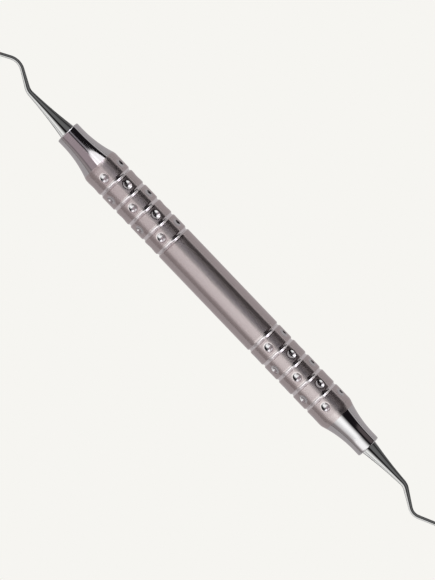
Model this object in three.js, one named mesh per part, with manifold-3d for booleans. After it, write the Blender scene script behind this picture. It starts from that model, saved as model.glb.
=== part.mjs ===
// A double-ended hand scaler: a hollow turned handle with a dimpled grip at each end, and a bent, hooked
// scaling tip held in a nose cone at both ends. Millimetres, +Z up, the handle along X, lying on Z = 0.
import * as THREE from "three";
import { mergeVertices } from "three/addons/utils/BufferGeometryUtils.js";
import Module from "manifold-3d";

const wasm = await Module();
wasm.setup();

// Handle
const handleRadius = 5;
const wall = 0.85;
const boreRadius = handleRadius - wall;
const sides = 32; // facets of every turned piece, with a flat underneath to rest on
const fitGap = 0.03; // radial clearance left in the pressed and brazed joints
const seamGap = 0.05; // clearance left where two shoulders meet end to end

// Grip: bands parted by grooves, each band with a ring of ball-milled dimples
const firstGroove = 16.48; // from the middle of the handle to the first groove's centre
const groovePitch = 5.1;
const grooveCount = 5;
const grooveDepth = 0.35;
const grooveFloor = 0.45; // width of the groove's floor
const grooveWall = 0.3; // axial run of each sloping wall
const dimplesPerBand = 5;
const dimpleBall = 1.6; // radius of the ball cutter
const dimpleDepth = 0.5;

// Spigots: the plug on the inner end of a sleeve or cone
const spigotRadius = boreRadius - fitGap;
const spigotLength = 7.5;
const spigotWall = 0.6;
const spigotChamfer = 0.4;
const reliefWidth = 1.2; // shallow groove around a spigot that holds the bonding compound
const reliefDepth = 0.2;

// Nose cone
const shoulderRadius = 3; // the barrel rolls over this arc into the hollow flare
const flareRadius = 29; // the flare is an arc that ends tangent to the neck
const neckStart = 52.2;
const noseFace = 54.2;
const neckRadius = 3.27;
const noseCorner = 0.35; // rounded edge of the end face
const tangBore = 1.5;
const coneBore = 3.3; // lightening bore behind the tang
const coneBoreEnd = 43.6;
const drillPoint = 1.08; // axial length of the drilled cone between the two bores

// Tip: serrated tang, tapered shank with two bends, and the hooked blade
const tangLength = 10.4;
const tangRadius = tangBore - 2 * fitGap;
const tangLead = 0.5; // tapered lead-in at the tang's inner end
const tangNeck = 1.2; // plain length between the serrations and the shank
const serrationDepth = 0.16;
const shoulderStep = 0.01; // axial run of the tip's square steps
const shankRoot = 2.12; // radius at the nose face
const shankRadius = 0.5; // radius where the blade begins
const taperLength = 26;
const taperPower = 2.7; // above 1, the taper eases out towards the blade
const blade = { length: 5.8, hook: -72, lean: 20, width: 1.05, height: 1.45, heel: 1.2 };
const tipSides = 18;

// Each end's bends. first and second: from the last corner to this one, turn in degrees, centreline radius.
// terminal: from the second bend's corner to the heel of the blade.
const rightBends = {
  first: { after: 13.1, angle: 30.5, radius: 3.6 },
  second: { after: 7.5, angle: -54.8, radius: 3.2 },
  terminal: 7.7,
};
const leftBends = {
  first: { after: 14.05, angle: 28.4, radius: 3.8 },
  second: { after: 8, angle: -57.6, radius: 4.4 },
  terminal: 6.7,
};

const groove = (n) => firstGroove + n * groovePitch;
const seam = (n) => groove(n) - grooveFloor / 2; // two turned pieces meet in a corner of a groove
const radians = THREE.MathUtils.degToRad;

// A closed three.js geometry as a manifold solid.
function solidOf(geometry) {
  const bare = geometry.clone();
  bare.deleteAttribute("normal");
  bare.deleteAttribute("uv");
  const merged = mergeVertices(bare, 1e-4);
  return new wasm.Manifold(
    new wasm.Mesh({
      numProp: 3,
      vertProperties: new Float32Array(merged.attributes.position.array),
      triVerts: new Uint32Array(merged.index.array),
    }),
  );
}

// A manifold solid as a three.js geometry.
function geometryOf(solid) {
  const mesh = solid.getMesh();
  const geometry = new THREE.BufferGeometry();
  geometry.setAttribute("position", new THREE.BufferAttribute(new Float32Array(mesh.vertProperties), 3));
  geometry.setIndex(new THREE.BufferAttribute(new Uint32Array(mesh.triVerts), 1));
  geometry.computeVertexNormals();
  return geometry;
}

// Turns a closed outline of [x, radius] points about the X axis. The flats lie on the radius.
function turned(outline) {
  const points = [...outline, outline[0]].map(
    ([x, radius]) => new THREE.Vector2(radius / Math.cos(Math.PI / sides), x),
  );
  const lathe = new THREE.LatheGeometry(points, sides, Math.PI / sides);
  return lathe.rotateZ(-Math.PI / 2);
}

// Points of an arc in the [x, radius] plane, from one angle to another, in degrees.
function arc(centreX, centreRadius, radius, from, to, steps) {
  const clockwise = to < from;
  const curve = new THREE.EllipseCurve(
    centreX, centreRadius, radius, radius, radians(from), radians(to), clockwise,
  );
  return curve.getPoints(steps).map((p) => [p.x, p.y]);
}

// One groove's outline, from its inner rim to its outer rim.
function grooveOutline(centre) {
  const floor = grooveFloor / 2;
  const rim = floor + grooveWall;
  const low = handleRadius - grooveDepth;
  return [
    [centre - rim, handleRadius],
    [centre - floor, low],
    [centre + floor, low],
    [centre + rim, handleRadius],
  ];
}

// The outside of a plug that is pressed into the bore of its neighbour, up to the shoulder at x.
function spigotOutline(x) {
  const end = x - spigotLength;
  const relief = x - spigotLength / 2;
  return [
    [end, spigotRadius - spigotChamfer],
    [end + spigotChamfer, spigotRadius],
    [relief - reliefWidth / 2, spigotRadius],
    [relief - reliefWidth / 2, spigotRadius - reliefDepth],
    [relief + reliefWidth / 2, spigotRadius - reliefDepth],
    [relief + reliefWidth / 2, spigotRadius],
    [x, spigotRadius],
  ];
}

// Ball-milled dimples around a band centred at x, the first at an angle from +Z towards +Y, in degrees.
function dimples(x, phase) {
  const balls = [];
  for (let k = 0; k < dimplesPerBand; k++) {
    const ball = new THREE.SphereGeometry(dimpleBall, 12, 9);
    ball.rotateX(Math.PI / 2);
    ball.translate(x, 0, handleRadius + dimpleBall - dimpleDepth);
    ball.rotateX(-radians(phase + (k * 360) / dimplesPerBand));
    balls.push(solidOf(ball));
  }
  return wasm.Manifold.union(balls);
}

// Neighbouring bands are indexed by half a dimple, counted inwards from the nose.
const bandPhase = (phase, band) => phase + (band % 2) * (180 / dimplesPerBand);

// The plain middle of the handle: a length of tube, chamfered outside into the first groove at both ends.
function centreTube() {
  const end = seam(0);
  const rim = end - grooveWall;
  const low = handleRadius - grooveDepth;
  return turned([
    [-end, boreRadius],
    [-end, low],
    [-rim, handleRadius],
    [rim, handleRadius],
    [end, low],
    [end, boreRadius],
  ]);
}

// The four inner bands of one grip, with a spigot into the centre tube and a bore for the nose cone.
function gripSleeve(phase) {
  const shoulder = seam(0) + seamGap;
  const end = seam(grooveCount - 1);
  const low = handleRadius - grooveDepth;
  const outline = [
    ...spigotOutline(shoulder),
    [shoulder, low],
    ...grooveOutline(groove(0)).slice(2),
  ];
  for (let n = 1; n < grooveCount - 1; n++) outline.push(...grooveOutline(groove(n)));
  outline.push(
    [end - grooveWall, handleRadius],
    [end, low],
    [end, boreRadius],
    [shoulder + wall, boreRadius],
    [shoulder + wall - (boreRadius - spigotRadius + spigotWall), spigotRadius - spigotWall],
    [shoulder - spigotLength, spigotRadius - spigotWall],
  );
  let sleeve = solidOf(turned(outline));
  for (let band = 1; band < grooveCount; band++) {
    const centre = groove(grooveCount - 1 - band) + groovePitch / 2;
    sleeve = sleeve.subtract(dimples(centre, bandPhase(phase, band)));
  }
  return geometryOf(sleeve);
}

// The nose cone: spigot, outermost band, hollow flare and neck, bored through for the tang.
function noseCone(phase) {
  const shoulder = seam(grooveCount - 1) + seamGap;
  const low = handleRadius - grooveDepth;
  const apart = shoulderRadius + flareRadius; // between the centres of the shoulder's and flare's arcs
  const rise = neckRadius - handleRadius + apart;
  const run = Math.sqrt(apart ** 2 - rise ** 2);
  const slope = THREE.MathUtils.radToDeg(Math.asin(run / apart)); // where the two arcs meet
  const outline = [
    ...spigotOutline(shoulder),
    [shoulder, low],
    ...grooveOutline(groove(grooveCount - 1)).slice(2),
    ...arc(neckStart - run, handleRadius - shoulderRadius, shoulderRadius, 90, 90 - slope, 3),
    ...arc(neckStart, neckRadius + flareRadius, flareRadius, 270 - slope, 270, 7).slice(1),
    ...arc(noseFace - noseCorner, neckRadius - noseCorner, noseCorner, 90, 0, 3),
    [noseFace, tangBore],
    [coneBoreEnd + drillPoint, tangBore],
    [coneBoreEnd, coneBore],
    [shoulder - spigotLength, coneBore],
  ];
  const band = groove(grooveCount - 1) + groovePitch / 2;
  return geometryOf(solidOf(turned(outline)).subtract(dimples(band, phase)));
}

// One straight or bent stretch of the tip's centreline: its length, its turn and how many stations it takes.
const straight = (length, steps) => ({ length, turn: 0, steps });
const bend = ({ radius, angle }, steps) => ({
  length: radius * radians(Math.abs(angle)),
  turn: radians(angle),
  steps,
});
// How much of each neighbouring straight a bend takes up, from its corner.
const setback = ({ radius, angle }) => radius * Math.tan(radians(Math.abs(angle) / 2));

// Walks the stretches and returns stations: a matrix with +X along the tip, and the length walked so far.
function walk(stretches) {
  const pose = new THREE.Matrix4();
  const stations = [{ pose: pose.clone(), along: 0 }];
  let along = 0;
  for (const { length, turn, steps, lean = 0 } of stretches) {
    pose.multiply(new THREE.Matrix4().makeRotationX(lean));
    const half = new THREE.Matrix4().makeRotationZ(turn / steps / 2);
    const step = new THREE.Matrix4().makeTranslation(length / steps, 0, 0);
    for (let i = 0; i < steps; i++) {
      pose.multiply(half).multiply(step).multiply(half);
      along += length / steps;
      stations.push({ pose: pose.clone(), along });
    }
  }
  return stations;
}

// Distance from the middle to the edge of a triangle of unit corner radius, with one flat at angle 0.
function trianglePolar(angle) {
  const third = (2 * Math.PI) / 3;
  const fromFlat = angle - third * Math.round(angle / third);
  return 0.5 / Math.cos(fromFlat);
}

// The tip's surface at one station and angle, across the tip. The blade's flat faces -Y, inside the hook.
function tipPoint(angle, along, total) {
  const fromFace = along - tangLength;
  const fromPoint = total - along;
  let inward;
  let across;
  if (fromFace < shoulderStep / 2) {
    const neck = fromFace > shoulderStep / 2 - tangNeck;
    const valley = Math.cos((angle * tipSides) / 2) < 0;
    const tooth = neck || valley ? serrationDepth : 0;
    inward = along < tangLead / 2 ? 0 : tangRadius - tooth;
    across = inward;
  } else {
    const left = Math.max(0, 1 - fromFace / taperLength);
    const round = shankRadius + (shankRoot - shankRadius) * left ** taperPower;
    const grown = THREE.MathUtils.smoothstep(blade.length + blade.heel - fromPoint, 0, blade.heel);
    const sharpened = Math.min(1, Math.max(0, fromPoint / blade.length)) ** 0.75;
    const flat = trianglePolar(angle) * sharpened;
    inward = THREE.MathUtils.lerp(round, (blade.height / 1.5) * flat, grown);
    across = THREE.MathUtils.lerp(round, (blade.width / Math.sqrt(3)) * flat, grown);
  }
  return new THREE.Vector3(0, -inward * Math.cos(angle), -across * Math.sin(angle));
}

// Tang, shank and blade, forged in one piece: a turned bar, shaped and bent station by station.
// It starts at the tang's inner end and runs out along +X.
function scalerTip({ first, second, terminal }, lean) {
  const beforeFirst = first.after - setback(first);
  const between = second.after - setback(first) - setback(second);
  const afterSecond = terminal - setback(second);
  const hook = { length: blade.length, turn: radians(blade.hook), steps: 12, lean: radians(lean) };
  const stations = walk([
    straight(tangLead, 1),
    straight(tangLength - tangLead - tangNeck, 1),
    straight(shoulderStep, 1), // the serrations end in a step
    straight(tangNeck - shoulderStep, 1),
    straight(shoulderStep, 1), // and the tang ends at the shank's shoulder
    straight(beforeFirst - shoulderStep, 9),
    bend(first, 4),
    straight(between, 2),
    bend(second, 6),
    straight(afterSecond, 3),
    hook,
  ]);
  const total = stations.at(-1).along;
  const bar = new THREE.LatheGeometry(stations.map(({ along }) => new THREE.Vector2(1, along)), tipSides);
  const position = bar.attributes.position;
  for (let i = 0; i < position.count; i++) {
    const { pose, along } = stations[i % stations.length];
    const angle = (Math.floor(i / stations.length) * 2 * Math.PI) / tipSides;
    const point = tipPoint(angle, along, total).applyMatrix4(pose);
    position.setXYZ(i, point.x, point.y, point.z);
  }
  bar.computeVertexNormals();
  return bar;
}

const satinSteel = new THREE.MeshStandardMaterial({ color: 0xa39a98, metalness: 1, roughness: 0.28 });
const gripSteel = new THREE.MeshStandardMaterial({ color: 0x9d9492, metalness: 1, roughness: 0.25 });
const noseSteel = new THREE.MeshStandardMaterial({ color: 0xa59d9b, metalness: 1, roughness: 0.16 });
const tipSteel = new THREE.MeshStandardMaterial({ color: 0x8f908d, metalness: 1, roughness: 0.12 });

function part(name, geometry, material) {
  const mesh = new THREE.Mesh(geometry, material.clone());
  mesh.name = name;
  return mesh;
}

// Everything outboard of the centre tube at one end, built towards +X.
function handleEnd(side, dimplePhase, bends, lean) {
  const group = new THREE.Group();
  group.add(part(`${side}_grip_sleeve`, gripSleeve(dimplePhase), gripSteel));
  group.add(part(`${side}_nose_cone`, noseCone(dimplePhase), noseSteel));
  const tip = part(`${side}_scaler_tip`, scalerTip(bends, lean), tipSteel);
  tip.position.x = noseFace + seamGap - tangLength;
  tip.rotation.x = Math.PI; // the shank's first bend goes towards -Y
  group.add(tip);
  return group;
}

const handScaler = new THREE.Group();
handScaler.position.z = handleRadius;
handScaler.add(part("centre_tube", centreTube(), satinSteel));

const rightEnd = handleEnd("right", -10.5, rightBends, blade.lean);
const leftEnd = handleEnd("left", 15.5, leftBends, -blade.lean); // the two blades are a mirrored pair
leftEnd.rotation.z = Math.PI;
handScaler.add(rightEnd, leftEnd);

export default handScaler;
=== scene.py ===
# Double-ended hand scaler: satin hollow handle, dimpled grips, polished noses and bent, hooked tips.
import math

import bmesh
import bpy
import numpy as np
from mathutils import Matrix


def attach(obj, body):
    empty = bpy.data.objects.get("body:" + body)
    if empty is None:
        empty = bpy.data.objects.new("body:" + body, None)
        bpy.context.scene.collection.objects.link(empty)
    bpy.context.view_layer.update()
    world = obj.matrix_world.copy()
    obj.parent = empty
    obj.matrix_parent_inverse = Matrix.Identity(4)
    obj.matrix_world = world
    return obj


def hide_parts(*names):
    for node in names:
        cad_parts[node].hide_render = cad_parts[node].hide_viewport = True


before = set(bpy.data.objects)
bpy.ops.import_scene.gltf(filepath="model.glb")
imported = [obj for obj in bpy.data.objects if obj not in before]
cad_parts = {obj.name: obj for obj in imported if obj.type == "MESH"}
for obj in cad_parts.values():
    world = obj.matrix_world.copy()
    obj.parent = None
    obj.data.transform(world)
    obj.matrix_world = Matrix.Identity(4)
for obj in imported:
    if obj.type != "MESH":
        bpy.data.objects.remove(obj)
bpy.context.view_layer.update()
print("frame loaded:", len(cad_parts), "nodes")

mm = 0.001
axisHeight = 5 * mm  # the handle's centreline above the floor


# Skins a grid of points, rows by columns: face (i, j) joins rows i, i+1 and columns j, j+1. A row whose
# points all coincide is a pole, and its faces become triangles when doubles are merged.
def gridPiece(name, points, uv, rowsWrap=False, attributes=None, creaseAngle=40):
    rows, columns = points.shape[:2]
    i = np.arange(rows if rowsWrap else rows - 1)[:, None]
    j = np.arange(columns)[None, :]
    below, above = (i % rows) * columns, ((i + 1) % rows) * columns
    here, beside = j % columns, (j + 1) % columns
    quads = np.stack([below + here, below + beside, above + beside, above + here], axis=-1).reshape(-1, 4)
    # six times the volume inside the skin, which is negative when the faces look inwards
    a, b, c, d = (points.reshape(-1, 3)[quads[:, k]] for k in range(4))
    flipped = np.einsum("ij,ij->", a, np.cross(b, c) + np.cross(c, d)) < 0
    if flipped:
        quads = quads[:, ::-1]
    mesh = bpy.data.meshes.new(name)
    mesh.vertices.add(rows * columns)
    mesh.vertices.foreach_set("co", points.reshape(-1).astype(np.float32))
    mesh.loops.add(quads.size)
    mesh.loops.foreach_set("vertex_index", quads.reshape(-1).astype(np.int32))
    mesh.polygons.add(len(quads))
    mesh.polygons.foreach_set("loop_start", np.arange(0, quads.size, 4, dtype=np.int32))
    # u runs along the piece and v around it, so a corner past the seam takes v = 1
    u, v = uv
    cornerV = np.stack([j, j + 1, j + 1, j], axis=-1) / columns + 0 * i[..., None]
    cornerU = np.stack([i, i, i + 1, i + 1], axis=-1) + 0 * j[..., None]
    if flipped:
        cornerU, cornerV = cornerU[..., ::-1], cornerV[..., ::-1]
    lengths = np.append(u, u[-1] + (u[-1] - u[-2])) if rowsWrap else u
    uvMap = mesh.uv_layers.new(name="alongAround")
    corners = np.stack([lengths[cornerU], cornerV * v], axis=-1)
    uvMap.data.foreach_set("uv", corners.reshape(-1).astype(np.float32))
    mesh.update(calc_edges=True)
    for key, values in (attributes or {}).items():
        layer = mesh.attributes.new(name=key, type="FLOAT", domain="POINT")
        layer.data.foreach_set("value", values.reshape(-1).astype(np.float32))
    mesh.polygons.foreach_set("use_smooth", np.ones(len(quads), dtype=bool))
    mesh.set_sharp_from_angle(angle=math.radians(creaseAngle))
    piece = bpy.data.objects.new(name, mesh)
    bpy.context.scene.collection.objects.link(piece)
    return piece


# Sizes are in mm and angles in degrees unless a note says otherwise. x is measured from the handle's middle.
handle = {
    "radius": 5.0,
    "bore": 4.15,
    "columns": 288,  # points around every turned piece
    "spacing": 0.11,  # mm between rows on the outside
    "arcStep": 18,  # degrees between the points of a rounded corner
    "insideUpTo": 4.25,  # radius below which a face is hidden inside
    "fitGap": 0.03,
    "seamGap": 0.05,
}


# Corners [x, radius, fillet, spacing scale]: straight runs joined by arcs that touch both runs. The arc's
# ends lie fillet / tan(half the corner) from the corner.
def roundedOutline(corners, spacing, closed=True):
    corners = np.array(corners, dtype=float)
    count = len(corners)
    runs = []
    for k in range(count):
        before, here, after = corners[k - 1][:2], corners[k][:2], corners[(k + 1) % count][:2]
        fillet = corners[k][2]
        if fillet == 0 or (not closed and k in (0, count - 1)):
            runs.append(here[None, :])
            continue
        inward = (before - here) / np.linalg.norm(before - here)
        outward = (after - here) / np.linalg.norm(after - here)
        half = math.acos(np.clip(inward @ outward, -1, 1)) / 2
        middle = (inward + outward) / np.linalg.norm(inward + outward)
        centre = here + middle * fillet / math.sin(half)
        sweep = math.pi - 2 * half
        points = max(3, int(math.degrees(sweep) / handle["arcStep"]) + 2)
        t = np.linspace(-sweep / 2, sweep / 2, points)
        side = np.array([-middle[1], middle[0]])
        side = side * np.sign(side @ outward)
        runs.append(centre + fillet * (-middle * np.cos(t)[:, None] + side * np.sin(t)[:, None]))
    pieces = []
    for k in range(count if closed else count - 1):
        start, end = runs[k][-1], runs[(k + 1) % count][0]
        pieces.append(runs[k])
        steps = int(np.linalg.norm(end - start) / (spacing * corners[k][3])) + 1
        pieces.append(start + (end - start) * (np.arange(1, steps) / steps)[:, None])
    if not closed:
        pieces.append(runs[-1])
    return np.concatenate(pieces)


grip = {
    "firstGroove": 16.48,
    "pitch": 5.1,
    "grooves": 5,
    "depth": 0.35,
    "halfWidth": 0.64,
    "cutHighlightWidth": 0.47,  # half the width that is cut, with a painted highlight
    "cutHighlightFade": 0.14,
    "rowSpacing": 0.035,  # mm between rows across a groove
    "seam": 0.225,  # from a groove's centre in to the joint between two pieces
    "dimplesPerBand": 5,
    "dimpleBall": 1.6,
    "dimpleDepth": 0.5,
    "dimpleRim": 0.045,  # depth by which a dimple's rim is eased
    "dimpleFade": 0.3,  # mm at a ball's ends over which the easing dies out
    "dimpleBright": 0.1,  # depth from which a dimple is fully bare
    "edgeWidth": 0.1,  # of the worn edge along a groove
    "rimDepth": 0.035,  # where a dimple's rim is worn most, and how far on either side
    "rimWidth": 0.04,
    "rimFrom": 0.004,
}

spigot = {"length": 7.5, "wall": 0.6, "chamfer": 0.4, "relief": 1.2, "reliefDepth": 0.2, "root": 0.85}

nose = {
    "shoulderRadius": 3,
    "shoulderRows": 12,
    "flareRadius": 29,
    "flareRows": 80,
    "polishFrom": {-1: 42.85, 1: 43.7},  # the two ends were polished by hand, and differ a little
    "polishFade": 0.05,
    "neckStart": 52.2,
    "neckGap": 0.1,  # to the neck's next row
    "face": 54.2,
    "neckRadius": 3.27,
    "corner": 0.35,
    "tangBore": 1.5,
    "mouth": 0.08,  # rounding where the bore meets the face
    "coneBore": 3.3,
    "coneBoreEnd": 43.6,
    "drillPoint": 1.08,
}


def grooveAt(n):
    return grip["firstGroove"] + n * grip["pitch"]


def seamAt(n):
    return grooveAt(n) - grip["seam"]


# A groove's outline, or the share of it between two offsets from its centre. Its depth at offset u is
# depth * (1 + cos(pi * u / halfWidth)) / 2.
def grooveCorners(centre, start=None, end=None):
    start = -grip["halfWidth"] if start is None else start
    end = grip["halfWidth"] if end is None else end
    u = np.linspace(start, end, int((end - start) / grip["rowSpacing"]) + 2)
    radius = handle["radius"] - grip["depth"] * (1 + np.cos(math.pi * u / grip["halfWidth"])) / 2
    return [[centre + a, b, 0, 1] for a, b in zip(u, radius)]


def spigotCorners(x):
    outside = handle["bore"] - handle["fitGap"]
    end, relief = x - spigot["length"], x - spigot["length"] / 2
    half, low = spigot["relief"] / 2, outside - spigot["reliefDepth"]
    return [
        [end, outside - spigot["chamfer"], 0, 4],
        [end + spigot["chamfer"], outside, 0, 6],
        [relief - half, outside, 0, 4],
        [relief - half, low, 0, 4],
        [relief + half, low, 0, 4],
        [relief + half, outside, 0, 6],
        [x, outside, 0, 4],
    ]


# Presses balls into the turned skin. A ball of radius b, its centre at height h over x0, leaves
# r = h cos(d) - sqrt(b^2 - (x - x0)^2 - h^2 sin(d)^2), and the skin is the eased lower of it and r0.
def withDimples(x, radius, angles, centres, phases):
    ball, depth = grip["dimpleBall"], grip["dimpleDepth"]
    height = handle["radius"] + ball - depth
    skin = np.repeat(radius[:, None], len(angles), axis=1)
    sunk = np.zeros_like(skin)
    turn = 2 * math.pi / grip["dimplesPerBand"]
    for centre, phase in zip(centres, phases):
        away = np.abs(x - centre)
        near = away < ball
        off = (angles - math.radians(phase) + turn / 2) % turn - turn / 2
        reach = ball**2 - (x[near][:, None] - centre) ** 2 - (height * np.sin(off))[None, :] ** 2
        floor = height * np.cos(off)[None, :] - np.sqrt(np.maximum(reach, 1e-6))
        cut = np.where(reach > 1e-6, skin[near] - floor, -depth * 4)  # well clear of the skin past the ball
        eased = (cut + np.sqrt(cut**2 + 4 * grip["dimpleRim"] ** 2)) / 2
        eased = eased * np.clip((ball - away[near]) / grip["dimpleFade"], 0, 1)[:, None]
        outside = (radius[near] > handle["radius"] - 0.01)[:, None]
        sunk[near] = np.maximum(sunk[near], np.where(outside, eased, 0))
    return skin - sunk, sunk


# Adds points to the outer side of an outline at given places along the handle.
def withRings(outline, places):
    for x in places:
        n = np.flatnonzero((outline[:-1, 0] < x) & (outline[1:, 0] > x))[0]
        share = (x - outline[n, 0]) / (outline[n + 1, 0] - outline[n, 0])
        point = outline[n] + share * (outline[n + 1] - outline[n])
        outline = np.insert(outline, n + 1, point, axis=0)
    return outline


# Turns an outline about the handle's centreline: (x, r sin a, r cos a). The left end is the right one,
# turned half about the vertical.
def turnedPiece(name, outline, side, dimpleCentres=(), dimplePhases=(), polishFrom=None):
    if polishFrom is not None:  # two more rings of points keep the polished edge sharp
        outline = withRings(outline, (polishFrom, polishFrom + nose["polishFade"]))
    x, radius = outline[:, 0], outline[:, 1]
    angles = np.arange(handle["columns"]) * 2 * math.pi / handle["columns"]
    skin, sunk = withDimples(x, radius, angles, dimpleCentres, dimplePhases)
    points = np.stack([
        np.repeat(x[:, None], len(angles), axis=1) * side,
        skin * np.sin(angles) * side,
        skin * np.cos(angles),
    ], axis=-1) * mm
    points[..., 2] += axisHeight
    # masks: cut grooves with a painted highlight, the edges of grooves and dimples, the dimples, and the
    # polished nose
    grooves = grooveAt(np.arange(grip["grooves"]))
    toGroove = np.abs(np.abs(x)[:, None] - grooves[None, :]).min(axis=1)
    low = np.clip((grip["cutHighlightWidth"] - toGroove) / grip["cutHighlightFade"], 0, 1)
    low = low * (radius > handle["insideUpTo"])
    grooveRim = np.exp(-(((toGroove - grip["halfWidth"]) / grip["edgeWidth"]) ** 2))
    dimpleRim = np.exp(-(((sunk - grip["rimDepth"]) / grip["rimWidth"]) ** 2)) * (sunk > grip["rimFrom"])
    polish = np.zeros_like(x)
    if polishFrom is not None:
        polish = np.clip((x - polishFrom) / nose["polishFade"], 0, 1)
    attributes = {
        "groove": np.repeat(low[:, None], len(angles), axis=1),
        "rim": np.maximum(np.repeat(grooveRim[:, None], len(angles), axis=1), dimpleRim),
        "dimple": np.clip(sunk / grip["dimpleBright"], 0, 1),
        "polish": np.repeat(polish[:, None], len(angles), axis=1),
    }
    steps = np.linalg.norm(np.diff(outline, axis=0), axis=1)
    along = np.concatenate([[0], np.cumsum(steps)]) * mm
    girth = 2 * math.pi * handle["radius"] * mm
    return gridPiece(name, points, (along, girth), rowsWrap=True, attributes=attributes)


# Bands are counted inwards from the nose: the nose cone's own is 0.
def bandCentre(band):
    return grooveAt(grip["grooves"] - 1 - band) + grip["pitch"] / 2


def bandPhase(phase, band):
    return phase + (band % 2) * 180 / grip["dimplesPerBand"]


def centreTube():
    end = seamAt(0)
    rising = grooveCorners(-grooveAt(0), grip["seam"])
    falling = grooveCorners(grooveAt(0), end=-grip["seam"])
    rising[-1][3] = 4
    corners = [[-end, handle["bore"], 0, 3]] + rising + falling + [[end, handle["bore"], 0, 12]]
    return turnedPiece("centreTube", roundedOutline(corners, handle["spacing"]), 1)


def gripSleeve(name, side, phase):
    shoulder, end = seamAt(0) + handle["seamGap"], seamAt(grip["grooves"] - 1)
    outside = handle["bore"] - handle["fitGap"]
    inside = outside - spigot["wall"]
    corners = spigotCorners(shoulder) + grooveCorners(grooveAt(0), handle["seamGap"] - grip["seam"])
    for n in range(1, grip["grooves"] - 1):
        corners += grooveCorners(grooveAt(n))
    corners += grooveCorners(grooveAt(grip["grooves"] - 1), end=-grip["seam"])
    corners += [
        [end, handle["bore"], 0, 12],
        [shoulder + spigot["root"], handle["bore"], 0, 4],
        [shoulder + spigot["root"] - (handle["bore"] - inside), inside, 0, 12],
        [shoulder - spigot["length"], inside, 0, 4],
    ]
    bands = range(1, grip["grooves"])
    return turnedPiece(
        name, roundedOutline(corners, handle["spacing"]), side,
        [bandCentre(b) for b in bands], [bandPhase(phase, b) for b in bands],
    )


# The barrel rolls over a convex arc, r = R - s + s cos(t), into a hollow one that ends tangent to the
# neck, r = n + f - f cos(t), and both have the same slope t where they meet.
def noseCone(name, side, phase):
    shoulder = seamAt(grip["grooves"] - 1) + handle["seamGap"]
    apart = nose["shoulderRadius"] + nose["flareRadius"]
    slope = math.acos((nose["neckRadius"] - handle["radius"] + apart) / apart)
    rollStart = nose["neckStart"] - apart * math.sin(slope)
    roll = np.linspace(0, slope, nose["shoulderRows"])[1:]
    hollow = np.linspace(slope, 0, nose["flareRows"])[1:]
    flareX = np.concatenate([
        rollStart + nose["shoulderRadius"] * np.sin(roll),
        nose["neckStart"] - nose["flareRadius"] * np.sin(hollow),
    ])
    flareR = np.concatenate([
        handle["radius"] - nose["shoulderRadius"] * (1 - np.cos(roll)),
        nose["neckRadius"] + nose["flareRadius"] * (1 - np.cos(hollow)),
    ])
    lastGroove = grooveCorners(grooveAt(grip["grooves"] - 1), handle["seamGap"] - grip["seam"])
    barrel = roundedOutline(
        spigotCorners(shoulder) + lastGroove + [[rollStart, handle["radius"], 0, 1]],
        handle["spacing"], closed=False,
    )
    mouth = roundedOutline([
        [nose["neckStart"] + nose["neckGap"], nose["neckRadius"], 0, 1.5],
        [nose["face"], nose["neckRadius"], nose["corner"], 1],
        [nose["face"], nose["tangBore"], nose["mouth"], 8],
        [nose["coneBoreEnd"] + nose["drillPoint"], nose["tangBore"], 0, 4],
        [nose["coneBoreEnd"], nose["coneBore"], 0, 12],
        [shoulder - spigot["length"], nose["coneBore"], 0, 4],
    ], handle["spacing"], closed=False)
    outline = np.concatenate([barrel, np.stack([flareX, flareR], axis=1), mouth])
    return turnedPiece(name, outline, side, [bandCentre(0)], [phase], polishFrom=nose["polishFrom"][side])


tang = {"length": 10.4, "radius": 1.44, "lead": 0.5, "neck": 1.2, "tooth": 0.16, "teeth": 9}
shank = {"root": 2.12, "thin": 0.5, "taper": 26, "power": 2.7}
blade = {
    "length": 5.8,
    "hook": -72,
    "lean": 20,
    "width": 1.05,
    "height": 1.45,
    "heel": 1.2,  # mm over which the round shank grows into the blade
    "sharpening": 0.75,  # power by which the blade narrows to its point
    "edgeWidth": 0.12,
}
tipGrid = {
    "around": 72,
    "step": 0.11,
    "fineFrom": 8,  # mm from the point
    "pointLength": 0.4,
    "pointRows": 16,
    "leadGap": 0.001,  # between the two rows at the end of the tang's lead
    "stepGap": 0.01,  # between the two rows at each of the tang's other steps
    "faceGap": 0.05,
    "lineSteps": 6001,
    "creaseAngle": 34,
    "uvRadius": 1.5,
}
rightTip = {
    "first": {"after": 13.1, "angle": 30.5, "radius": 3.6},
    "second": {"after": 7.5, "angle": -54.8, "radius": 3.2},
    "terminal": 7.7,
}
leftTip = {
    "first": {"after": 14.05, "angle": 28.4, "radius": 3.8},
    "second": {"after": 8.0, "angle": -57.6, "radius": 4.4},
    "terminal": 6.7,
}


# The tip as straights and arcs, each a length and a turn in degrees. The last arc is the blade's hook. A
# bend takes radius * tan(half its angle) off the straight on either side.
def tipStretches(bends):
    first, second = bends["first"], bends["second"]
    setback = [b["radius"] * math.tan(math.radians(abs(b["angle"]) / 2)) for b in (first, second)]
    return np.array([
        (tang["length"] + first["after"] - setback[0], 0),
        (first["radius"] * math.radians(abs(first["angle"])), first["angle"]),
        (second["after"] - setback[0] - setback[1], 0),
        (second["radius"] * math.radians(abs(second["angle"])), second["angle"]),
        (bends["terminal"] - setback[1], 0),
        (blade["length"], blade["hook"]),
    ])


# Rows along the tip, closer at the tang's steps, along the blade and at its point.
def tipRows(ends):
    total = ends[-1]
    along = np.unique(np.round(np.concatenate([
        np.arange(0, total - tipGrid["fineFrom"], tipGrid["step"] * 2),
        np.arange(total - tipGrid["fineFrom"], total, tipGrid["step"] / 2),
        tang["lead"] + np.array([0, tipGrid["leadGap"]]),
        tang["length"] - tang["neck"] + np.array([0, tipGrid["stepGap"]]),
        tang["length"] + np.array([0, tipGrid["stepGap"], tipGrid["faceGap"]]),
        total - tipGrid["pointLength"] * np.linspace(0, 1, tipGrid["pointRows"]) ** 2,
        ends,
    ]), 4))
    return along[along <= total + 1e-9]


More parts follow.
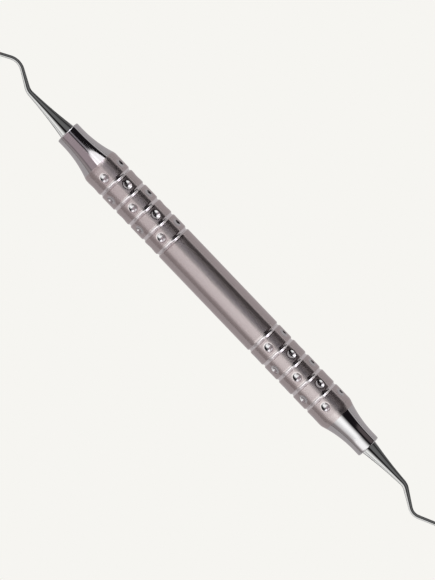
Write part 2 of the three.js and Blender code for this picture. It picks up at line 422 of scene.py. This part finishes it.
# Section radii in the plane of the bends and across it, and how far the blade has grown. The shank is
# round, thin + (root - thin) * (1 - s / taper) ** power. The blade is a triangle, and its edge lies at
# 0.5 / cos(angle from the nearest flat). The tang's teeth are a cosine around it.
def tipSection(along, total, angles):
    fromFace = (along - tang["length"])[:, None]
    fromPoint = (total - along)[:, None]
    left = np.maximum(0, 1 - np.maximum(fromFace, 0) / shank["taper"])
    roundRadius = shank["thin"] + (shank["root"] - shank["thin"]) * left ** shank["power"]
    third = 2 * math.pi / 3
    flat = 0.5 / np.cos(angles - third * np.round(angles / third))[None, :]
    grown = np.clip((blade["length"] + blade["heel"] - fromPoint) / blade["heel"], 0, 1)
    grown = grown**2 * (3 - 2 * grown)
    sharpened = np.clip(fromPoint / blade["length"], 0, 1) ** blade["sharpening"]
    inward = roundRadius + (blade["height"] / 1.5 * flat * sharpened - roundRadius) * grown
    across = roundRadius + (blade["width"] / math.sqrt(3) * flat * sharpened - roundRadius) * grown
    inTang = fromFace < tipGrid["stepGap"] / 2
    serrated = (along[:, None] >= tang["lead"]) & (fromFace <= -tang["neck"])
    teeth = tang["tooth"] * (0.5 - 0.5 * np.cos(angles * tang["teeth"]))[None, :]
    tooth = np.where(serrated, teeth, tang["tooth"])
    tangRadius = (tang["radius"] - tooth) * np.clip(along[:, None] / tang["lead"], 0, 1)
    return np.where(inTang, tangRadius, inward), np.where(inTang, tangRadius, across), grown


# The centreline, and the section's two axes on it: n swings in the plane of the bends and b stands on that
# plane. The heading is the running sum of the turns, and the line the running sum of its cosine and sine.
# The section turns by the lean as the blade grows, and past the heel the hook's plane leans with it.
def tipAxes(along, ends, turns, grown, leanAngle):
    turned = np.concatenate([[0], np.cumsum(turns)])
    fine = np.linspace(0, ends[-1], tipGrid["lineSteps"])
    fineHeading = np.interp(fine, ends, turned)
    midHeading = (fineHeading[1:] + fineHeading[:-1]) / 2
    stepX = np.concatenate([[0], np.cumsum(np.cos(midHeading) * np.diff(fine))])
    stepY = np.concatenate([[0], np.cumsum(np.sin(midHeading) * np.diff(fine))])
    heading = np.interp(along, ends, turned)
    flat = np.zeros_like(heading)
    line = np.stack([np.interp(along, fine, stepX), np.interp(along, fine, stepY), flat], axis=-1)

    heel = ends[-2]
    heelHeading = float(np.interp(heel, along, heading))
    heelPoint = np.array([np.interp(heel, fine, stepX), np.interp(heel, fine, stepY), 0])
    outwards = np.array([math.cos(heelHeading), math.sin(heelHeading), 0])
    swing = np.array([-math.sin(heelHeading), math.cos(heelHeading), 0])
    upright = np.array([0, 0, 1.0])
    leanedSwing = swing * math.cos(leanAngle) + upright * math.sin(leanAngle)
    leanedUpright = upright * math.cos(leanAngle) - swing * math.sin(leanAngle)
    run, drift = (line - heelPoint) @ outwards, (line - heelPoint) @ swing
    beyond = (along > heel)[:, None]
    line = np.where(beyond, heelPoint + run[:, None] * outwards + drift[:, None] * leanedSwing, line)

    n = np.stack([-np.sin(heading), np.cos(heading), flat], axis=-1)
    twist = leanAngle * grown
    n, b = n * np.cos(twist) + upright * np.sin(twist), upright * np.cos(twist) - n * np.sin(twist)
    hooked = (heading - heelHeading)[:, None]
    n = np.where(beyond, leanedSwing * np.cos(hooked) - outwards * np.sin(hooked), n)
    return line, n, np.where(beyond, leanedUpright, b)


# Carries the section along the centreline: line - inward * cos(a) * n + across * sin(a) * b.
def scalerTip(name, side, bends, lean):
    stretches = tipStretches(bends)
    ends = np.concatenate([[0], np.cumsum(stretches[:, 0])])
    along = tipRows(ends)
    angles = np.arange(tipGrid["around"]) * 2 * math.pi / tipGrid["around"]
    inward, across, grown = tipSection(along, ends[-1], angles)
    line, n, b = tipAxes(along, ends, np.radians(stretches[:, 1]), grown, math.radians(lean))
    offN, offB = -inward * np.cos(angles), across * np.sin(angles)
    local = line[:, None, :] + offN[..., None] * n[:, None, :] + offB[..., None] * b[:, None, :]
    local[..., 0] += nose["face"] + handle["seamGap"] - tang["length"]
    points = local * np.array([side, -side, -1]) * mm
    points[..., 2] += axisHeight
    # the cutting edges are the triangle's corners, half way between its flats
    corners = (angles * 3 / math.pi + 1) % 2 - 1
    edge = np.exp(-((corners / blade["edgeWidth"]) ** 2))[None, :]
    attributes = {
        "ground": np.repeat(grown, tipGrid["around"], axis=1),
        "cuttingEdge": edge * grown,
    }
    girth = 2 * math.pi * tipGrid["uvRadius"] * mm
    return closePoles(gridPiece(name, points, (along * mm, girth), attributes=attributes))


# Merges each end row's coinciding points into one.
def closePoles(piece):
    skin = bmesh.new()
    skin.from_mesh(piece.data)
    bmesh.ops.remove_doubles(skin, verts=skin.verts, dist=1e-8)
    bmesh.ops.recalc_face_normals(skin, faces=skin.faces)
    if skin.calc_volume(signed=True) < 0:
        bmesh.ops.reverse_faces(skin, faces=skin.faces)
    skin.to_mesh(piece.data)
    skin.free()
    piece.data.set_sharp_from_angle(angle=math.radians(tipGrid["creaseAngle"]))
    return piece


def makeGroup(name, inputs, outputs):
    tree = bpy.data.node_groups.new(name, "ShaderNodeTree")
    for label, kind, value in inputs:
        tree.interface.new_socket(name=label, in_out="INPUT", socket_type=kind).default_value = value
    for label, kind in outputs:
        tree.interface.new_socket(name=label, in_out="OUTPUT", socket_type=kind)
    return tree, tree.nodes.new("NodeGroupInput"), tree.nodes.new("NodeGroupOutput")


def add(tree, kind, **settings):
    node = tree.nodes.new("ShaderNode" + kind)
    for key, value in settings.items():
        if key.startswith("in_"):
            name = key[3:]
            node.inputs[int(name) if name.isdigit() else name].default_value = value
        else:
            setattr(node, key, value)
    return node


def maths(tree, operation, first, second):
    node = add(tree, "Math", operation=operation)
    for socket, value in zip(node.inputs, (first, second)):
        if isinstance(value, (int, float)):
            socket.default_value = value
        else:
            tree.links.new(value, socket)
    return node.outputs[0]


# Noise over the object's own coordinates, in metres, scaled differently along each axis.
def stretchedNoise(tree, scale, detail=3.0, roughness=0.55):
    coordinates = add(tree, "TexCoord")
    mapping = add(tree, "Mapping")
    mapping.inputs["Scale"].default_value = scale
    noise = add(tree, "TexNoise", in_Scale=1.0, in_Detail=detail, in_Roughness=roughness)
    tree.links.new(coordinates.outputs["Object"], mapping.inputs["Vector"])
    tree.links.new(mapping.outputs["Vector"], noise.inputs["Vector"])
    return noise.outputs["Fac"]


# Noise scales are per metre along X, Y and Z.
grain = {
    "rings": (9000, 140, 140),
    "fineRings": (26000, 300, 300),
    "fineShare": 0.35,
    "haze": (90, 220, 220),
    "speckle": (2500, 2500, 2500),  # of the speckled darkening in the grooves
    "ringShade": 0.2,
    "leastRoughness": 0.03,
}


# Fine turning rings around the handle, and the broad haze and mottling that handling leaves.
def steelGrain():
    tree, given, result = makeGroup(
        "steelGrain",
        [
            ("Rings", "NodeSocketFloat", 0.05),
            ("Haze", "NodeSocketFloat", 0.05),
            ("Mottling", "NodeSocketFloat", 0.1),
            ("Roughness", "NodeSocketFloat", 0.2),
        ],
        [("Roughness", "NodeSocketFloat"), ("Height", "NodeSocketFloat"), ("Shade", "NodeSocketFloat")],
    )
    rings = stretchedNoise(tree, grain["rings"], 2.0)
    fineRings = stretchedNoise(tree, grain["fineRings"], 1.0)
    haze = stretchedNoise(tree, grain["haze"], 3.0)
    coarse = maths(tree, "MULTIPLY", rings, 1 - grain["fineShare"])
    ringSum = maths(tree, "ADD", coarse, maths(tree, "MULTIPLY", fineRings, grain["fineShare"]))
    centred = maths(tree, "SUBTRACT", ringSum, 0.5)
    hazed = maths(tree, "SUBTRACT", haze, 0.5)
    rough = given.outputs["Roughness"]
    for pattern, strength in ((centred, "Rings"), (hazed, "Haze")):
        rough = maths(tree, "ADD", rough, maths(tree, "MULTIPLY", pattern, given.outputs[strength]))
    tree.links.new(maths(tree, "MAXIMUM", rough, grain["leastRoughness"]), result.inputs["Roughness"])
    tree.links.new(ringSum, result.inputs["Height"])
    mottled = maths(tree, "MULTIPLY", hazed, given.outputs["Mottling"])
    ringed = maths(tree, "MULTIPLY", centred, grain["ringShade"])
    tree.links.new(maths(tree, "ADD", ringed, mottled), result.inputs["Shade"])
    return tree


# Masks off the mesh: bare metal where cut or polished, a painted highlight in the grooves and speckled
# darkening low in them.
def workedEdgesAndHighlight():
    tree, given, result = makeGroup(
        "workedEdgesAndHighlight",
        [
            ("Satin", "NodeSocketColor", (0.5, 0.5, 0.5, 1)),
            ("Bare", "NodeSocketColor", (0.5, 0.5, 0.5, 1)),
            ("Bright", "NodeSocketColor", (0.8, 0.8, 0.8, 1)),
            ("Grime", "NodeSocketFloat", 0.3),
            ("Shade", "NodeSocketFloat", 0.0),
        ],
        [("Colour", "NodeSocketColor"), ("Cut", "NodeSocketFloat"), ("Polish", "NodeSocketFloat")],
    )
    masks = {}
    for key in ("groove", "rim", "dimple", "polish"):
        masks[key] = add(tree, "Attribute", attribute_name=key, attribute_type="GEOMETRY").outputs["Fac"]
    cut = maths(tree, "MAXIMUM", maths(tree, "MAXIMUM", masks["groove"], masks["dimple"]), masks["rim"])
    bare = add(tree, "MixRGB")
    tree.links.new(maths(tree, "MAXIMUM", masks["dimple"], masks["polish"]), bare.inputs["Fac"])
    tree.links.new(given.outputs["Satin"], bare.inputs["Color1"])
    tree.links.new(given.outputs["Bare"], bare.inputs["Color2"])
    # the grooves take a lighter colour, a painted highlight
    bright = add(tree, "MixRGB")
    tree.links.new(masks["groove"], bright.inputs["Fac"])
    tree.links.new(bare.outputs["Color"], bright.inputs["Color1"])
    tree.links.new(given.outputs["Bright"], bright.inputs["Color2"])
    # a speckled darkening in the grooves comes off the colour
    speckle = stretchedNoise(tree, grain["speckle"], 2.0)
    grooveDarkening = maths(tree, "MULTIPLY", maths(tree, "MULTIPLY", masks["groove"], given.outputs["Grime"]), speckle)
    lit = maths(tree, "SUBTRACT", maths(tree, "ADD", 1.0, given.outputs["Shade"]), grooveDarkening)
    tint = add(tree, "VectorMath", operation="SCALE")
    tree.links.new(bright.outputs["Color"], tint.inputs[0])
    tree.links.new(lit, tint.inputs["Scale"])
    tree.links.new(tint.outputs[0], result.inputs["Colour"])
    tree.links.new(cut, result.inputs["Cut"])
    tree.links.new(masks["polish"], result.inputs["Polish"])
    return tree


grainGroup, edgeGroup = steelGrain(), workedEdgesAndHighlight()


def placeGroup(tree, group, **values):
    node = tree.nodes.new("ShaderNodeGroup")
    node.node_tree = group
    for key, value in values.items():
        node.inputs[key].default_value = value
    return node


def startMaterial(name, anisotropic):
    material = bpy.data.materials.new(name)
    material.use_nodes = True
    tree = material.node_tree
    shader = tree.nodes["Principled BSDF"]
    shader.inputs["Metallic"].default_value = 1.0
    shader.inputs["Anisotropic"].default_value = anisotropic
    return material, tree, shader


# Turned and blasted steel. The rings run around the piece, so gloss spreads along it.
def turnedSteel(name, finish):
    material, tree, shader = startMaterial(name, finish["anisotropic"])
    surface = placeGroup(
        tree, grainGroup, Rings=finish["rings"], Haze=finish["haze"], Mottling=finish["mottling"],
        Roughness=finish["roughness"],
    )
    # the grooves' lighter colour is a painted highlight
    edges = placeGroup(
        tree, edgeGroup, Satin=(*finish["satin"], 1), Bare=(*finish["bare"], 1),
        Bright=(*finish["cut"], 1), Grime=finish["grooveDarkening"],
    )
    tree.links.new(surface.outputs["Shade"], edges.inputs["Shade"])
    tree.links.new(edges.outputs["Colour"], shader.inputs["Base Color"])
    # grooves and dimples are cut after the satin finish, so they are smoother, and the nose is polished
    cut = maths(tree, "MULTIPLY", edges.outputs["Cut"], finish["cutPolish"])
    polished = maths(tree, "MULTIPLY", edges.outputs["Polish"], finish["nosePolish"])
    smoother = maths(tree, "MAXIMUM", cut, polished)
    rough = maths(tree, "MULTIPLY", surface.outputs["Roughness"], maths(tree, "SUBTRACT", 1.0, smoother))
    tree.links.new(rough, shader.inputs["Roughness"])
    bump = add(tree, "Bump", in_Distance=finish["depth"] * mm, in_Strength=1.0)
    worn = maths(tree, "MULTIPLY", smoother, finish["bumpLoss"])
    left = maths(tree, "MAXIMUM", maths(tree, "SUBTRACT", 1.0, worn), 0.0)
    height = maths(tree, "MULTIPLY", surface.outputs["Height"], left)
    tree.links.new(height, bump.inputs["Height"])
    tree.links.new(bump.outputs["Normal"], shader.inputs["Normal"])
    tangent = add(tree, "Tangent", direction_type="UV_MAP", uv_map="alongAround")
    tree.links.new(tangent.outputs["Tangent"], shader.inputs["Tangent"])
    return material


satinFinish = {
    "satin": (0.520, 0.472, 0.470),
    "bare": (0.555, 0.553, 0.564),  # dimples and the polished nose
    "cut": (0.82, 0.80, 0.81),  # grooves, lightened by a painted highlight
    "roughness": 0.295,
    "anisotropic": 0.97,
    "rings": 0.10,
    "haze": 0.04,
    "mottling": 0.10,
    # how much the speckled darkening takes off the colour in the grooves
    "grooveDarkening": 0.15,
    "cutPolish": 0.6,
    "nosePolish": 0.0,
    "bumpLoss": 1.35,  # how fast the rings go as the steel gets smoother
    "depth": 0.0008,  # mm
}
noseFinish = dict(satinFinish, nosePolish=0.73)
tipFinish = {
    "colour": (0.47, 0.472, 0.468),
    "anisotropic": 0.3,
    "roughness": 0.09,
    "smears": 0.06,
    "smearScale": (350, 500, 500),
    "groundRoughness": 0.12,
    "lines": 0.12,
    "lineScale": (600, 9000, 9000),
    "edge": 0.25,  # how much brighter the cutting edges are
    "depth": 0.0006,  # mm
}


# Bright polished steel with faint lengthwise polishing lines, and a finely ground blade.
def tipSteel(name, finish):
    material, tree, shader = startMaterial(name, finish["anisotropic"])
    lines = stretchedNoise(tree, finish["lineScale"], 2.0)
    smears = stretchedNoise(tree, finish["smearScale"], 3.0)
    ground = add(tree, "Attribute", attribute_name="ground", attribute_type="GEOMETRY").outputs["Fac"]
    edge = add(tree, "Attribute", attribute_name="cuttingEdge", attribute_type="GEOMETRY").outputs["Fac"]
    smeared = maths(tree, "MULTIPLY", maths(tree, "SUBTRACT", smears, 0.5), finish["smears"])
    rough = maths(tree, "ADD", finish["roughness"], smeared)
    rough = maths(tree, "ADD", rough, maths(tree, "MULTIPLY", ground, finish["groundRoughness"]))
    tree.links.new(rough, shader.inputs["Roughness"])
    bright = maths(tree, "ADD", 1.0, maths(tree, "MULTIPLY", edge, finish["edge"]))
    lined = maths(tree, "MULTIPLY", maths(tree, "SUBTRACT", lines, 0.5), finish["lines"])
    bright = maths(tree, "ADD", bright, lined)
    tint = add(tree, "VectorMath", operation="SCALE")
    tint.inputs[0].default_value = finish["colour"]
    tree.links.new(bright, tint.inputs["Scale"])
    tree.links.new(tint.outputs[0], shader.inputs["Base Color"])
    bump = add(tree, "Bump", in_Distance=finish["depth"] * mm, in_Strength=1.0)
    tree.links.new(lines, bump.inputs["Height"])
    tree.links.new(bump.outputs["Normal"], shader.inputs["Normal"])
    return material


handleSteel = turnedSteel("satinHandleSteel", satinFinish)
gripSteel = turnedSteel("satinGripSteel", satinFinish)
noseSteel = turnedSteel("polishedNoseSteel", noseFinish)
brightSteel = tipSteel("brightTipSteel", tipFinish)
print("finishes made")

# the handle and the tips have lights of their own
handlePieces = bpy.data.collections.new("handlePieces")
tipPieces = bpy.data.collections.new("tipPieces")


def place(piece, node, material, group):
    piece.data.materials.append(material)
    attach(piece, "root")
    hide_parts(node)
    group.objects.link(piece)
    print("made", piece.name, len(piece.data.polygons), "faces")


place(centreTube(), "centre_tube", handleSteel, handlePieces)
for end, side, phase, bends, lean in (
    ("left", -1, 15.5, leftTip, -blade["lean"]),
    ("right", 1, -10.5, rightTip, blade["lean"]),
):
    sleeve = gripSleeve(f"{end}GripSleeve", side, phase)
    place(sleeve, f"{end}_grip_sleeve", gripSteel, handlePieces)
    cone = noseCone(f"{end}NoseCone", side, phase)
    place(cone, f"{end}_nose_cone", noseSteel, handlePieces)
    tip = scalerTip(f"{end}ScalerTip", side, bends, lean)
    place(tip, f"{end}_scaler_tip", brightSteel, tipPieces)
for group in (handlePieces, tipPieces):
    bpy.context.scene.collection.children.link(group)


studio = {
    "floorGlow": (0.922, 0.913, 0.880),  # what the camera sees
    "floorInSteel": (0.565, 0.526, 0.532),  # what the steel reflects
    "floorByTips": (0.16, 0.16, 0.16),  # what it reflects of the floor from darkFrom to darkTo mm out
    "darkFrom": 54,
    "darkTo": 58,
    "roomInSteel": (0.012, 0.010, 0.012),
    "distance": 400,  # mm from the handle to the long softboxes
    "floorSize": 6,  # m
}
# Long softboxes over the object: degrees from straight up towards +Y, the degrees over which each edge
# fades, and mm along the handle.
softboxes = [
    {"name": "main", "for": "handle", "from": -77, "to": 22, "fade": (43, 42), "left": 0, "right": 110,
     "glow": 1.64, "tint": (1.0, 1.0, 0.985)},
    {"name": "mainFar", "for": "handle", "from": -71, "to": 24, "fade": (58, 36), "left": 110, "right": 700,
     "glow": 1.70, "tint": (1.0, 1.0, 0.985)},
    {"name": "brown", "for": "handle", "from": 30, "to": 72, "fade": (12, 6), "left": 10, "right": 160,
     "glow": 0.12, "tint": (1.0, 0.84, 0.84)},
    {"name": "mainLow", "for": "handle", "from": -89, "to": -36, "fade": (1, 22), "left": 0, "right": 700,
     "glow": 0.36, "tint": (1.0, 0.89, 0.88)},
    {"name": "fill", "for": "handle", "from": -68, "to": 8, "fade": (17, 12), "left": -900, "right": 0,
     "glow": 0.48, "tint": (1.0, 0.81, 0.86)},
    {"name": "fillLow", "for": "handle", "from": -89, "to": -58, "fade": (1, 14), "left": -900, "right": 0,
     "glow": 0.40, "tint": (1.0, 0.87, 0.87)},
    {"name": "sliver", "for": "handle", "from": 9, "to": 27, "fade": (5, 6), "left": -400, "right": -48,
     "glow": 0.32, "tint": (1.0, 0.92, 1.0)},
    {"name": "violet", "for": "handle", "from": 27, "to": 51, "fade": (5, 3), "left": -1200, "right": -470,
     "glow": 5.2, "tint": (0.86, 0.83, 1.0)},
    {"name": "high", "for": "handle", "from": 75, "to": 89, "fade": (8, 1), "left": -900, "right": 700,
     "glow": 0.72, "tint": (1.0, 0.95, 0.95)},
    {"name": "tipWhite", "for": "tips", "from": -88, "to": -20, "fade": (2, 44), "left": -700, "right": 700,
     "glow": 1.62, "tint": (1.0, 1.0, 0.99)},
    {"name": "tipGrey", "for": "tips", "from": -4, "to": 86, "fade": (14, 44), "left": -700, "right": 700,
     "glow": 0.23, "tint": (0.98, 1.0, 1.0)},
]
# An oval softbox facing down, upright ones past the ends, and glowing cards lying on the floor, all in mm.
ovalBox = {
    "centre": (-594, 369, 400), "size": (528, 1030), "turn": 36.5, "glow": 1.58, "tint": (1.0, 0.975, 0.98),
}
endBoxes = [
    {"name": "leftEnd", "x": -520, "from": -500, "to": 500, "height": 300, "glow": 0.8},
    {"name": "rightEnd", "x": 520, "from": -500, "to": 0, "height": 300, "glow": 0.8},
]
# Each kind of card lies at both ends. The floor beyond the noses is dark in reflections, for the tips, and
# the second kind lights it again for the handle.
floorCards = [
    {"name": "Card", "for": "tips", "inner": 56, "outer": 95, "front": -90, "back": -8, "height": 0.3,
     "glow": 1.2, "tint": (1.0, 1.0, 1.0)},
    {"name": "Floor", "for": "handle", "inner": 56, "outer": 500, "front": -400, "back": 400, "height": 0.02,
     "glow": 0.40, "tint": (1.0, 0.92, 0.92)},
]
receivers = {"handle": handlePieces, "tips": tipPieces}


# A light's radiance is its power / (pi * area), so its power is glow * pi * area.
def hangLight(name, shape, size, glow, tint, location, rotation, lit):
    light = bpy.data.lights.new(name, "AREA")
    light.shape = shape
    light.size = size[0] * mm
    light.size_y = size[1] * mm
    area = light.size * light.size_y * (math.pi / 4 if shape == "ELLIPSE" else 1)
    light.energy = glow * math.pi * area
    light.color = tint
    holder = bpy.data.objects.new(name, light)
    holder.location = [c * mm for c in location]
    holder.rotation_euler = rotation
    holder.visible_camera = False
    holder.light_linking.receiver_collection = receivers[lit]
    bpy.context.scene.collection.objects.link(holder)
    return light


# Eases a softbox's glow off towards its two long edges, by smooth steps of the height across it.
def fadeEdges(light, shares):
    light.use_nodes = True
    tree = light.node_tree
    across = add(tree, "NewGeometry").outputs["Parametric"]
    split = add(tree, "SeparateXYZ")
    tree.links.new(across, split.inputs[0])
    eased = []
    for start, end in ((0, shares[0]), (1, 1 - shares[1])):
        ease = add(tree, "MapRange", interpolation_type="SMOOTHSTEP")
        ease.inputs["From Min"].default_value = start
        ease.inputs["From Max"].default_value = end
        tree.links.new(split.outputs["Y"], ease.inputs["Value"])
        eased.append(ease.outputs["Result"])
    tree.links.new(maths(tree, "MULTIPLY", *eased), tree.nodes["Emission"].inputs["Strength"])


for box in softboxes:
    middle = math.radians(box["to"] + box["from"]) / 2
    half = math.radians(box["to"] - box["from"]) / 2
    span = 2 * studio["distance"] * math.tan(half)
    light = hangLight(
        box["name"], "RECTANGLE", (box["right"] - box["left"], span), box["glow"], box["tint"],
        ((box["left"] + box["right"]) / 2, studio["distance"] * math.sin(middle),
         studio["distance"] * math.cos(middle) + axisHeight / mm),
        (-middle, 0, 0), box["for"],
    )
    inside = [math.tan(half - math.radians(fade)) for fade in box["fade"]]
    fadeEdges(light, [(math.tan(half) - edge) / (2 * math.tan(half)) for edge in inside])
hangLight(
    "oval", "ELLIPSE", ovalBox["size"], ovalBox["glow"], ovalBox["tint"],
    ovalBox["centre"], (0, 0, math.radians(ovalBox["turn"])), "handle",
)
for box in endBoxes:
    facing = math.pi / 2 if box["x"] > 0 else -math.pi / 2
    hangLight(
        box["name"], "RECTANGLE", (box["height"], box["to"] - box["from"]), box["glow"], (1, 1, 1),
        (box["x"], (box["from"] + box["to"]) / 2, box["height"] / 2), (0, facing, 0), "handle",
    )
for card in floorCards:
    for end, side in (("left", -1), ("right", 1)):
        hangLight(
            end + card["name"], "RECTANGLE", (card["outer"] - card["inner"], card["back"] - card["front"]),
            card["glow"], card["tint"],
            (side * (card["inner"] + card["outer"]) / 2, (card["front"] + card["back"]) / 2, card["height"]),
            (math.pi, 0, 0), card["for"],
        )
print("lights hung")


# One glow for the camera and a dimmer one for reflections. Returns the mix of the two.
def glowFor(tree, camera, steel, target, socket):
    path = add(tree, "LightPath")
    mix = add(tree, "MixRGB")
    mix.inputs["Color1"].default_value = (*steel, 1)
    mix.inputs["Color2"].default_value = (*camera, 1)
    tree.links.new(path.outputs["Is Camera Ray"], mix.inputs["Fac"])
    tree.links.new(mix.outputs["Color"], target.inputs[socket])
    return mix


floorMesh = bpy.data.meshes.new("floor")
half = studio["floorSize"] / 2
floorCorners = [(-half, -half, 0), (half, -half, 0), (half, half, 0), (-half, half, 0)]
floorMesh.from_pydata(floorCorners, [], [(0, 1, 2, 3)])
floor = bpy.data.objects.new("floor", floorMesh)
bpy.context.scene.collection.objects.link(floor)
floorPaint = bpy.data.materials.new("paleFloor")
floorPaint.use_nodes = True
floorTree = floorPaint.node_tree
floorTree.nodes.clear()
floorEmission = add(floorTree, "Emission", in_Strength=1.0)
seen = glowFor(floorTree, studio["floorGlow"], studio["floorInSteel"], floorEmission, "Color")
# beside the tips the floor is darker in reflections, as if a dark card lay there
spot = add(floorTree, "SeparateXYZ")
floorTree.links.new(add(floorTree, "TexCoord").outputs["Object"], spot.inputs[0])
beside = add(floorTree, "MapRange", interpolation_type="SMOOTHSTEP")
beside.inputs["From Min"].default_value = studio["darkFrom"] * mm
beside.inputs["From Max"].default_value = studio["darkTo"] * mm
floorTree.links.new(maths(floorTree, "ABSOLUTE", spot.outputs["X"], 0), beside.inputs["Value"])
inSteel = add(floorTree, "MixRGB")
inSteel.inputs["Color1"].default_value = (*studio["floorInSteel"], 1)
inSteel.inputs["Color2"].default_value = (*studio["floorByTips"], 1)
floorTree.links.new(beside.outputs["Result"], inSteel.inputs["Fac"])
floorTree.links.new(inSteel.outputs["Color"], seen.inputs["Color1"])
floorOut = add(floorTree, "OutputMaterial")
floorTree.links.new(floorEmission.outputs[0], floorOut.inputs["Surface"])
floorMesh.materials.append(floorPaint)

world = bpy.context.scene.world or bpy.data.worlds.new("room")
bpy.context.scene.world = world
world.use_nodes = True
background = world.node_tree.nodes["Background"]
glowFor(world.node_tree, studio["floorGlow"], studio["roomInSteel"], background, "Color")


# The camera looks straight down.
view = {
    "lens": 300,
    "sensor": 36,
    "frameHeight": 144.3,  # mm
    "turn": 46.27,  # degrees
    "aim": (0.137, 0.139),  # mm
    "clip": (0.05, 20),  # m
}
camera = bpy.data.cameras.new("camera")
camera.lens = view["lens"]
camera.sensor_width = view["sensor"]
cameraHolder = bpy.data.objects.new("camera", camera)
bpy.context.scene.collection.objects.link(cameraHolder)
turn = math.radians(view["turn"])
# the camera's right and up, which lie flat
right = np.array([math.cos(turn), math.sin(turn)])
up = np.array([-math.sin(turn), math.cos(turn)])
aim = -(view["aim"][0] * right + view["aim"][1] * up) * mm
away = view["frameHeight"] * mm * view["lens"] / view["sensor"]
cameraHolder.location = (aim[0], aim[1], axisHeight + away)
cameraHolder.rotation_euler = (0, 0, turn)
camera.clip_start, camera.clip_end = view["clip"]
bpy.context.scene.camera = cameraHolder
bpy.context.scene.view_settings.view_transform = "Standard"
print("studio and camera set")
